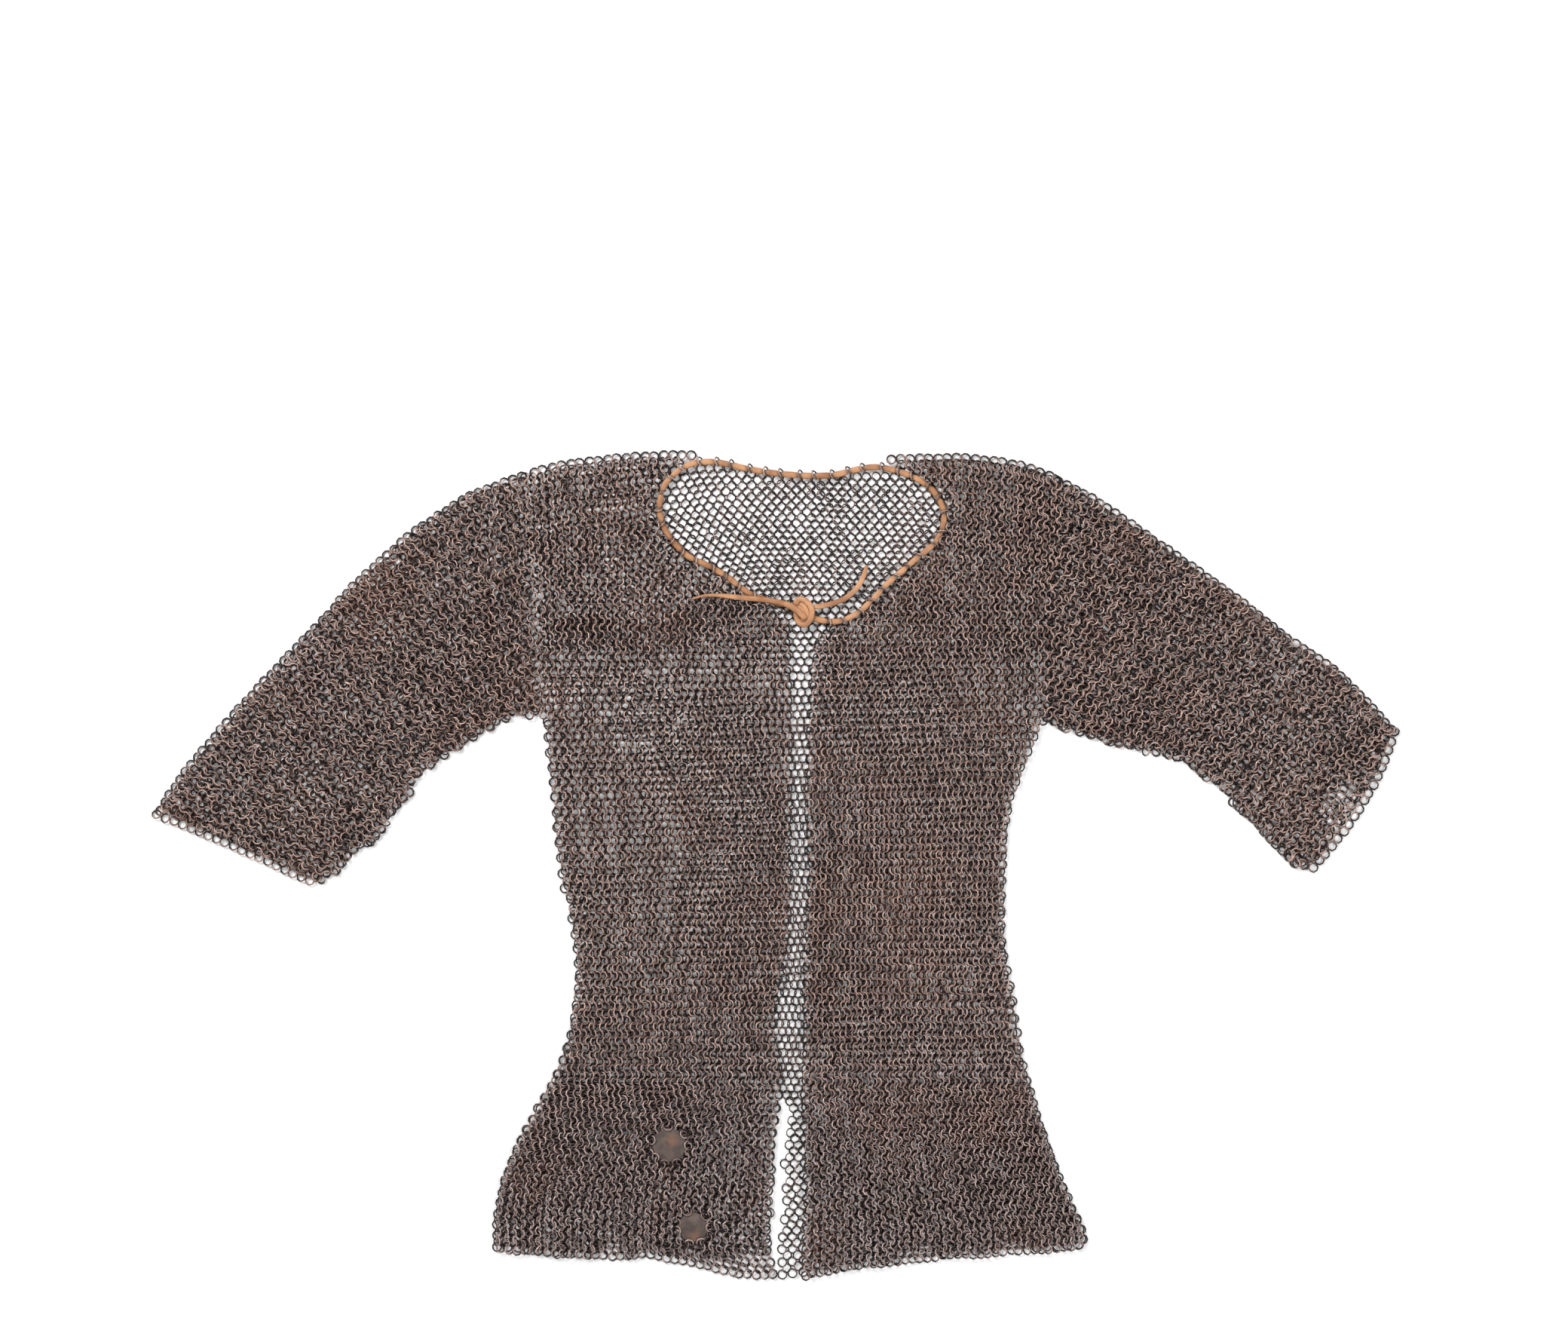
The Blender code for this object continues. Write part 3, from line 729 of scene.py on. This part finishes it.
def row_shares(panel, columns, height, odd, at_seam):
    """The share of the way across of each ring of a body row."""
    shares = (np.arange(columns) + 0.5 * odd) / (columns - (0.75 if at_seam else 0.5))
    if panel.whole:
        shares = shares + looked_up(MIDDLE_SQUEEZE, height / MM) * np.sin(math.tau * shares) / math.tau
    return shares


def body_rows(panel, columns, pitches):
    """Every row of a body panel: whether it is odd, whether it ends at an armhole, and its places."""
    for number, height in enumerate(row_heights(pitches)):
        odd = number % 2
        at_seam = height > ARMPIT * MM
        shares = row_shares(panel, columns, height, odd, at_seam)
        hem_share = max(0.0, 1 - height / (HEM_REACH * MM))
        fold_share = max(0.0, 1 - (GARMENT_HEIGHT * MM - height) / (FOLD_REACH * MM))
        y = np.full(columns, HEM_Y + height)
        for _ in range(4):
            start = panel.near_at(y) + panel.side * INSET
            end = panel.far_at(y) - (0 if at_seam else panel.side * INSET)
            x = start + (end - start) * shares
            lift = panel.hem_at(x) + looked_up(HEM_LIFTS, out_at(x)) * MM - HEM_Y
            drop = HEM_Y + GARMENT_HEIGHT * MM - panel.fold_at(x)
            y = HEM_Y + height + lift * hem_share - drop * fold_share
        if panel.whole:
            x, y = turned(x, y, height)
        yield odd, at_seam, x, y


def turned(x, y, height):
    """Turns the back's rows, as they lie inside the neck and behind the fronts."""
    places = np.arange(-250, 251, SLOPE_STEP)
    slopes = looked_up(NECK_SLOPES, places)
    lifts = np.cumsum(slopes) * SLOPE_STEP + NECK_LIFT
    share = looked_up(NECK_SHARES, height / MM)
    out = out_at(x)
    sideways = np.interp(out, places, slopes) * (height - NECK_LEVEL * MM)
    upward = np.interp(out, places, lifts) * share + looked_up(BACK_TURN, height / MM) * out
    return x - sideways * share, y + upward * MM


def body_leans(panel, x, y, at_seam):
    """How the rings of a body row turn over the folds near them."""
    lean_x = np.zeros_like(x)
    if not at_seam:
        lean_x += panel.side * fold_lean(np.abs(panel.far_at(y) - x))
        if panel.whole:
            lean_x -= panel.side * fold_lean(np.abs(x - panel.near_at(y)))
    return lean_x, fold_lean(panel.fold_at(x) - y)


def lay_body(mail, panel, columns, pitches):
    """Lays a body panel's rows. They stop short of the shoulder's fold, and behind the thong at the neck."""
    for odd, at_seam, x, y in body_rows(panel, columns, pitches):
        lean_x, lean_y = body_leans(panel, x, y, at_seam)
        limit = panel.fold_at(x) - EDGE_CLEAR
        out = out_at(x)
        if panel.whole:
            at_neck = (out > NECK_BACK[0][0]) & (out < NECK_BACK[-1][0])
            limit = np.where(at_neck, HEM_Y + looked_up(NECK_BACK, out) * MM, limit)
        else:
            limit = np.where(np.abs(out) < SHOULDER_START, HEM_Y + NECK_TOP * MM, limit)
        mail.add_row(x, y, lean_x, lean_y, odd, y < limit)


def lay_shoulder(mail, panel):
    """Lays the rings that turn over the shoulder."""
    x = CENTRE_X + panel.side * np.arange(SHOULDER_START * MM, SHOULDER_TIP * MM, EDGE_SPACING)
    mail.add_edge(x, panel.fold_at(x) - INSET, np.zeros_like(x), np.ones_like(x))


def evenly_along(sleeve, from_top, spacing, start):
    """Distances from the armhole of evenly spaced places along a line at a distance from the top fold."""
    steps = np.linspace(0, sleeve.length - INSET, 160)
    x, y, _, _, _ = sleeve.spots(steps, from_top)
    walked = path_distances(np.stack([x, y], axis=1))
    return np.interp(np.arange(start, walked[-1], spacing), walked, steps)


def lay_sleeve(mail, sleeve, spacing, pitch):
    """Lays rows along a sleeve, between the rings of its two folds."""
    for number in range(math.ceil(SLEEVE_WIDEST / pitch)):
        odd = number % 2
        from_top = FIRST_ROW + number * pitch
        travelled = evenly_along(sleeve, from_top, spacing, ROW_START + spacing / 2 * odd)
        x, y, width, down_x, down_y = sleeve.spots(travelled, from_top)
        lean = fold_lean(width - from_top) - fold_lean(from_top)
        wanted = (width - from_top > LAST_ROW) & (travelled < sleeve.length - EDGE_CLEAR - CUFF_CLEAR)
        mail.add_row(x, y, lean * down_x, lean * down_y, odd, wanted)


def lay_sleeve_edges(mail, sleeve):
    """Lays the open rings along the fold on top of a sleeve, and the two rows of them round its cuff."""
    travelled = evenly_along(sleeve, INSET, EDGE_SPACING, EDGE_SPACING / 2)
    x, y, _, down_x, down_y = sleeve.spots(travelled, INSET)
    mail.add_edge(x, y, -down_x, -down_y)
    cuff_width = sleeve.spots(sleeve.length, 0.0)[2]
    for back in (0, EDGE_CLEAR):
        from_top = np.arange(INSET + back / 2, cuff_width - INSET, EDGE_SPACING)
        at_cuff = np.full_like(from_top, sleeve.length - INSET - back)
        x, y, _, down_x, down_y = sleeve.spots(at_cuff, from_top)
        mail.add_edge(x, y, sleeve.side * np.abs(down_y), -down_x * np.sign(down_y))


# Meshes of rings


def ring_corners(rings, around, fullness):
    """Corners of rings, as an array of rings, steps round the ring, steps round the wire and x, y, z."""
    centre, along, normal, tilt = (np.array(values) for values in zip(*rings))
    tilt = tilt[:, None]
    along -= normal * np.sum(along * normal, axis=1, keepdims=True)
    along /= np.linalg.norm(along, axis=1, keepdims=True)
    up = np.cross(normal, along)
    first = along * np.cos(tilt) - normal * np.sin(tilt)
    facing = np.cross(first, up)
    turn = np.arange(around) * math.tau / around
    radial = first[:, None] * np.cos(turn)[None, :, None] + up[:, None] * np.sin(turn)[None, :, None]
    section = np.arange(WIRE_SIDES) * math.tau / WIRE_SIDES + math.pi / 2
    out = WIRE_WIDTH * np.cos(section)[None, None, :, None] * radial[:, :, None]
    over = WIRE_THICKNESS * np.sin(section)[None, None, :, None] * facing[:, None, None]
    radius = RING_RADIUS / math.cos(math.pi / around / 1.6)
    corners = centre[:, None, None] + radius * radial[:, :, None] + fullness / 2 * (out + over)
    corners[..., 2] = np.maximum(corners[..., 2], LOWEST)
    return corners


def ring_faces(count, around):
    """Corner numbers of every face of some rings, and the faces on a map with one cell for each ring."""
    ring = np.arange(count)[:, None, None]
    step = np.arange(around)[None, :, None]
    side = np.arange(WIRE_SIDES)[None, None, :]
    corners, spots = [], []
    for next_step, next_side in ((0, 0), (1, 0), (1, 1), (0, 1)):
        at_step = (step + next_step) % around
        at_side = (side + next_side) % WIRE_SIDES
        corners.append((ring * around + at_step) * WIRE_SIDES + at_side)
        across = np.broadcast_to((step + next_step) / around, (count, around, WIRE_SIDES))
        up = np.broadcast_to((side + next_side) / WIRE_SIDES, (count, around, WIRE_SIDES))
        spots.append(np.stack([across, up], axis=-1))
    return np.stack(corners, axis=-1).reshape(-1, 4), np.stack(spots, axis=-2).reshape(count, -1, 2)


def add_attribute(data, name, values):
    made = data.attributes.new(name, "FLOAT", "POINT")
    made.data.foreach_set("value", values.astype(np.float32))


def mesh_of_quads(name, points, faces):
    """A smooth mesh of four-sided faces."""
    data = bpy.data.meshes.new(name)
    data.vertices.add(len(points))
    data.vertices.foreach_set("co", points.astype(np.float32).ravel())
    data.loops.add(faces.size)
    data.loops.foreach_set("vertex_index", faces.astype(np.int32).ravel())
    data.polygons.add(len(faces))
    data.polygons.foreach_set("loop_start", np.arange(0, faces.size, 4, dtype=np.int32))
    data.update(calc_edges=True)
    data.shade_smooth()
    return data


def add_bake_map(data, spots):
    """A map for baking, with one square cell for each ring."""
    count = sum(len(group) for group in spots)
    cells = math.ceil(math.sqrt(count))
    made, first = [], 0
    for group in spots:
        index = np.arange(first, first + len(group))
        corner = np.stack([index % cells, index // cells], axis=-1)[:, None]
        made.append(((corner + 0.06 + 0.88 * group) / cells).reshape(-1, 2))
        first += len(group)
    layer = data.uv_layers.new(name="OFBake")
    layer.data.foreach_set("uv", np.concatenate(made).astype(np.float32).ravel())


def add_piece(data, material):
    """Puts a mesh into the scene as a piece of the part."""
    data.materials.append(material)
    piece = add_object(data.name, data)
    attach(piece, "root")
    return piece


def build_mail(name, groups, seed, material):
    """One joined mesh of rings. A group is a list of rings, the sides of each, and how full its wire is."""
    points, faces, tones, worn, spots = [], [], [], [], []
    random = np.random.default_rng(seed)
    first = 0
    for rings, around, fullness in groups:
        if not rings:
            continue
        corners = ring_corners(rings, around, fullness).reshape(-1, 3)
        ring_face, ring_spot = ring_faces(len(rings), around)
        points.append(corners)
        faces.append(ring_face + first)
        tones.append(np.repeat(random.random(len(rings)), around * WIRE_SIDES))
        # Painted shade as well as rubbing: the worn value grows with height within each ring, and the lower
        # layer starts lower, so low wire comes out dark.
        middle = np.repeat([ring[0].z for ring in rings], around * WIRE_SIDES)
        lower_shade = LOWER_LAYER_SHADE if np.median(middle) < MAIL * 0.8 else 0
        worn.append((corners[:, 2] - middle) / SHADE_AND_WEAR_RISE - lower_shade)
        spots.append(ring_spot)
        first += len(corners)
    data = mesh_of_quads(name, np.concatenate(points), np.concatenate(faces))
    add_attribute(data, "tone", np.concatenate(tones))
    # the worn attribute carries painted shade as well as rubbing
    add_attribute(data, "worn", np.concatenate(worn))
    add_bake_map(data, spots)
    return add_piece(data, material)


def shown_below(rings, upper):
    """Splits the lower layer's rings into those that show past the upper layer and those that don't."""
    shown, hidden = [], []
    for ring in rings:
        near_edge = not upper.holds(ring[0].x, ring[0].y, SHOWN_REACH)
        (shown if near_edge else hidden).append(ring)
    return shown, hidden


def disc_circle(name):
    """Middle and radius of a disc."""
    low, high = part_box(name)
    return (low + high) / 2, (high.x - low.x) / 2


def clear_for_discs(rings):
    """Lays flat the rings that the discs cover."""
    discs = [disc_circle(name) for name in DISCS]
    cleared = []
    for centre, along, normal, tilt in rings:
        if any((middle - centre).xy.length < radius + DISC_CLEAR for middle, radius in discs):
            centre, tilt = centre - Vector((0, 0, DISC_SINK)), tilt * 0.15
        cleared.append((centre, along, normal, tilt))
    return cleared


def rim_rings():
    """The rings that hold each disc by its rim."""
    rings = []
    for name, (count, _) in DISCS.items():
        middle, radius = disc_circle(name)
        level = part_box(name)[1].z - RIM_DROP
        for number in range(count):
            angle = math.tau * (number + 0.3 * math.sin(5 * number)) / count
            outward = Vector((math.cos(angle), math.sin(angle), 0))
            centre = Vector((middle.x, middle.y, level)) + outward * (radius + RIM_OUTWARD)
            tilt = math.radians(27 + 3 * math.sin(3 * number))
            rings.append((centre, outward, Vector((0, 0, 1)), tilt))
    return rings


def make_front(node_name, side, columns, seed, material, upper):
    mail = Mail(upper, "top", seed, FRONT_DISORDER)
    panel = Panel(node_name, side)
    lay_body(mail, panel, columns, FRONT_PITCHES)
    lay_shoulder(mail, panel)
    edge_rings = mail.edge_rings + (rim_rings() if node_name == "front_right" else [])
    rings = clear_for_discs(mail.rings)
    groups = [(rings, TOP_AROUND, WIRE_FULLNESS), (edge_rings, SHOWN_AROUND, WIRE_FULLNESS)]
    piece = build_mail(f"{node_name}_mail", groups, seed, material)
    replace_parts(piece, node_name)


def make_back(material, upper, whole):
    """The back, as two pieces of mail."""
    mail = Mail(whole, "under", 5)
    lay_body(mail, Panel("back", 1), BACK_COLUMNS, BACK_PITCHES)
    for name in ("back_lower_mail", "back_upper_mail"):
        lower = name == "back_lower_mail"
        rings = [ring for ring in mail.rings if (ring[0].y < 0) == lower]
        shown, hidden = shown_below(rings, upper)
        groups = [(shown, SHOWN_AROUND, SINGLE_FULLNESS), (hidden, HIDDEN_AROUND, WIRE_FULLNESS)]
        if not lower:
            groups.append((lacing_rings(), SHOWN_AROUND, WIRE_FULLNESS))
        piece = build_mail(name, groups, 15, material)
        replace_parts(piece, "back")


def make_sleeve(node_name, side, rows, seed, material, upper, whole):
    sleeve = Sleeve(rows, side)
    over = Mail(upper, "top", seed, SLEEVE_DISORDER)
    lay_sleeve(over, sleeve, *SLEEVE_TOP)
    lay_sleeve_edges(over, sleeve)
    under = Mail(whole, "under", seed)
    lay_sleeve(under, sleeve, *SLEEVE_UNDER)
    shown, hidden = shown_below(under.rings, upper)
    groups = [
        (over.rings + over.edge_rings, TOP_AROUND, WIRE_FULLNESS),
        (shown, SHOWN_AROUND, WIRE_FULLNESS),
        (hidden, HIDDEN_AROUND, WIRE_FULLNESS),
    ]
    piece = build_mail(f"{node_name}_mail", groups, seed, material)
    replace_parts(piece, node_name)
    2 * sleeve.area()


def make_mail(material):
    upper = Cover("front_right", "front_left", "sleeve_right", "sleeve_left")
    whole = Cover("back", "sleeve_right", "sleeve_left")
    make_front("front_right", -1, RIGHT_COLUMNS, 1, material, upper)
    make_front("front_left", 1, LEFT_COLUMNS, 3, material, upper)
    make_back(material, upper, whole)
    make_sleeve("sleeve_right", -1, SLEEVE_RIGHT, 7, material, upper, whole)
    make_sleeve("sleeve_left", 1, SLEEVE_LEFT, 9, material, upper, whole)


# The thong, its knot and the discs


def path_distances(path):
    return np.concatenate([[0], np.cumsum(np.linalg.norm(np.diff(path, axis=0), axis=1))])


def smooth_path(points, spacing):
    """Evenly spaced points along a curve through the given ones, as an array."""
    points = np.array(points, float)
    ends = [2 * points[0] - points[1], *points, 2 * points[-1] - points[-2]]
    fine = []
    for before, start, end, after in zip(ends, ends[1:], ends[2:], ends[3:]):
        for share in np.arange(CURVE_STEPS) / CURVE_STEPS:
            bend = (2 * before - 5 * start + 4 * end - after) * share**2
            sway = (3 * start - before - 3 * end + after) * share**3
            fine.append(start + 0.5 * ((end - before) * share + bend + sway))
    fine = np.array([*fine, points[-1]])
    travelled = path_distances(fine)
    wanted = np.linspace(0, travelled[-1], max(8, round(travelled[-1] / spacing)))
    return np.stack([np.interp(wanted, travelled, fine[:, axis]) for axis in range(3)], axis=1)


def thong_path(points):
    """A path on the garment in metres, from places and heights in millimetres."""
    return smooth_path([(*place(out, up), height * MM) for out, up, height in points], THONG_STEP)


def loop_path():
    return thong_path([(*point, THONG_LEVEL) for point in THONG_LOOP])


def strand_corners(path, sizes, groove):
    """Corners of the thong's oval section along a path."""
    ahead = np.gradient(path, axis=0)
    ahead /= np.linalg.norm(ahead, axis=1, keepdims=True)
    side = np.cross(ahead, (0, 0, 1))
    side /= np.linalg.norm(side, axis=1, keepdims=True)
    over = np.cross(side, ahead)
    turn = np.arange(THONG_SIDES) * math.tau / THONG_SIDES
    crease = 1 - groove * np.exp(-((turn - math.pi / 2) / CREASE_WIDTH) ** 2)
    across = np.cos(turn) * THONG_WIDTH / 2
    upward = np.sin(turn) * crease * THONG_THICKNESS / 2
    offsets = side[:, None] * across[None, :, None] + over[:, None] * upward[None, :, None]
    return (path[:, None] + offsets * np.array(sizes)[:, None, None]).reshape(-1, 3)


def make_strand(name, path, sizes, groove, material, ring_shade=None):
    """Sweeps the thong's oval section along a path. sizes is its size at each point, groove is how deep the
    crease along its upper side is, and the last argument gives the painted shade that a ring's wire lays on
    it at each point."""
    corners = strand_corners(path, sizes, groove)
    count = len(path)
    faces = []
    for step in range(count - 1):
        for index in range(THONG_SIDES):
            following = (index + 1) % THONG_SIDES
            first, second = step * THONG_SIDES, (step + 1) * THONG_SIDES
            faces.append((first + following, first + index, second + index, second + following))
    faces.append(tuple(range(THONG_SIDES)))
    faces.append(tuple(reversed(range((count - 1) * THONG_SIDES, count * THONG_SIDES))))
    data = bpy.data.meshes.new(name)
    data.from_pydata([tuple(corner) for corner in corners], [], faces)
    data.update()
    data.shade_smooth()
    # the painted shade under the rings, none by default
    shaded = np.zeros(count) if ring_shade is None else ring_shade
    add_attribute(data, "ring_shade", np.repeat(shaded, THONG_SIDES))
    return add_piece(data, material)


def rounded_ends(path, start_size, end_size, reach):
    """Sizes along a path which rounds off at both ends over the given reach."""
    travelled = path_distances(path)
    from_end = travelled[-1] - travelled
    sizes = np.ones(len(path))
    for distance, least in ((travelled, start_size), (from_end, end_size)):
        share = np.clip(distance / reach, 0, 1)
        sizes *= least + (1 - least) * np.sqrt(share * (2 - share))
    return sizes


def crossings(path):
    """Distances along the thong where it passes through a ring."""
    length = path_distances(path)[-1]
    found = [LACING_START]
    while found[-1] < length - LACING_END:
        found.append(found[-1] + LACING_SPACING * (1 + 0.14 * math.sin(2.3 * len(found))))
    return found[:-1]


def lacing_rings():
    """The rings of the neck's edge that the thong passes through."""
    path = loop_path()
    travelled = path_distances(path)
    middle = Vector(place(*NECK_MIDDLE))
    rings = []
    for number, distance in enumerate(crossings(path)):
        index = int(np.searchsorted(travelled, distance))
        spot, ahead = Vector(path[index]), Vector(path[index + 1] - path[index - 1]).normalized()
        outward = Vector((-ahead.y, ahead.x, 0))
        if outward.xy.dot(spot.xy - middle) < 0:
            outward = -outward
        lean = 0.3 + 0.15 * math.sin(3.1 * number)
        normal = (ahead + outward * lean + Vector((0, 0, 0.6))).normalized()
        along = (outward - normal * outward.dot(normal)).normalized()
        rings.append((spot + outward * LACING_OUTWARD, along, normal, 0.0))
    return rings


def make_loop(material):
    """The thong round the neck, which narrows in each ring that it is laced through."""
    path = loop_path()
    travelled = path_distances(path)
    sizes = rounded_ends(path, 0.8, 0.8, 3 * MM)
    ring_shade = np.zeros(len(path))
    for distance in crossings(path):
        near = np.exp(-(((travelled - distance) / GRIP_REACH) ** 2))
        sizes *= 1 - GRIP_DEPTH * near
        # painted shade where the ring's wire crosses the thong
        ring_shade = np.maximum(ring_shade, RING_SHADE_STRENGTH * near)
    loop = make_strand("thong_loop", path, sizes * LOOP_FULLNESS, 0.12, material, ring_shade)
    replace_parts(loop, "neck_thong")


def make_knot(material):
    for name, (points, scale) in KNOT_STRANDS.items():
        path = thong_path(points)
        sizes = rounded_ends(path, 0.5, 0.45, 2.4 * MM) * scale
        strand = make_strand(f"knot_{name}", path, sizes, 0.25, material)
        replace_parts(strand, "thong_knot")


def make_thong_end(name, points, taper, tip, material):
    """A free end of the thong, which leaves the knot and narrows to its tip."""
    path = thong_path(points)
    travelled = path_distances(path)
    share = np.clip((travelled / travelled[-1] - (1 - taper)) / taper, 0, 1)
    sizes = (1 - (1 - tip) * share) * rounded_ends(path, 0.8, 0.5, 1.5 * MM)
    end = make_strand(f"{name}_strand", path, sizes, 0.3, material)
    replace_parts(end, name)


def make_disc(name, material):
    """A slightly domed disc with a rounded rim."""
    low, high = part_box(name)
    middle, radius = disc_circle(name)
    depth = high.z - low.z
    mesh = bmesh.new()
    line = [mesh.verts.new((share * radius, 0, height * depth)) for share, height in DISC_PROFILE]
    edges = [mesh.edges.new(pair) for pair in zip(line, line[1:])]
    turned_parts = line + edges
    bmesh.ops.spin(mesh, geom=turned_parts, axis=(0, 0, 1), cent=(0, 0, 0), steps=DISC_STEPS, angle=math.tau)
    bmesh.ops.remove_doubles(mesh, verts=mesh.verts, dist=0.02 * MM)
    bmesh.ops.recalc_face_normals(mesh, faces=mesh.faces)
    bmesh.ops.translate(mesh, vec=(middle.x, middle.y, low.z), verts=mesh.verts)
    data = bpy.data.meshes.new(f"{name}_plate")
    mesh.to_mesh(data)
    mesh.free()
    data.shade_smooth()
    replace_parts(add_piece(data, material), name)


make_camera()
make_floor()
leather = leather_material()
make_thong_end("thong_end_right", THONG_END_RIGHT, 0.45, 0.3, leather)
make_thong_end("thong_end_left", THONG_END_LEFT, 0.25, 0.7, leather)
make_lighting()
make_mail(mail_material())
make_loop(leather)
make_knot(leather)
for disc, (_, stained) in DISCS.items():
    make_disc(disc, disc_material(disc_circle(disc)[0], Vector(stained)))
boxes = {"cad": cad_box, "visual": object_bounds()}
{name: [[float(v) for v in corner] for corner in box] for name, box in boxes.items()}
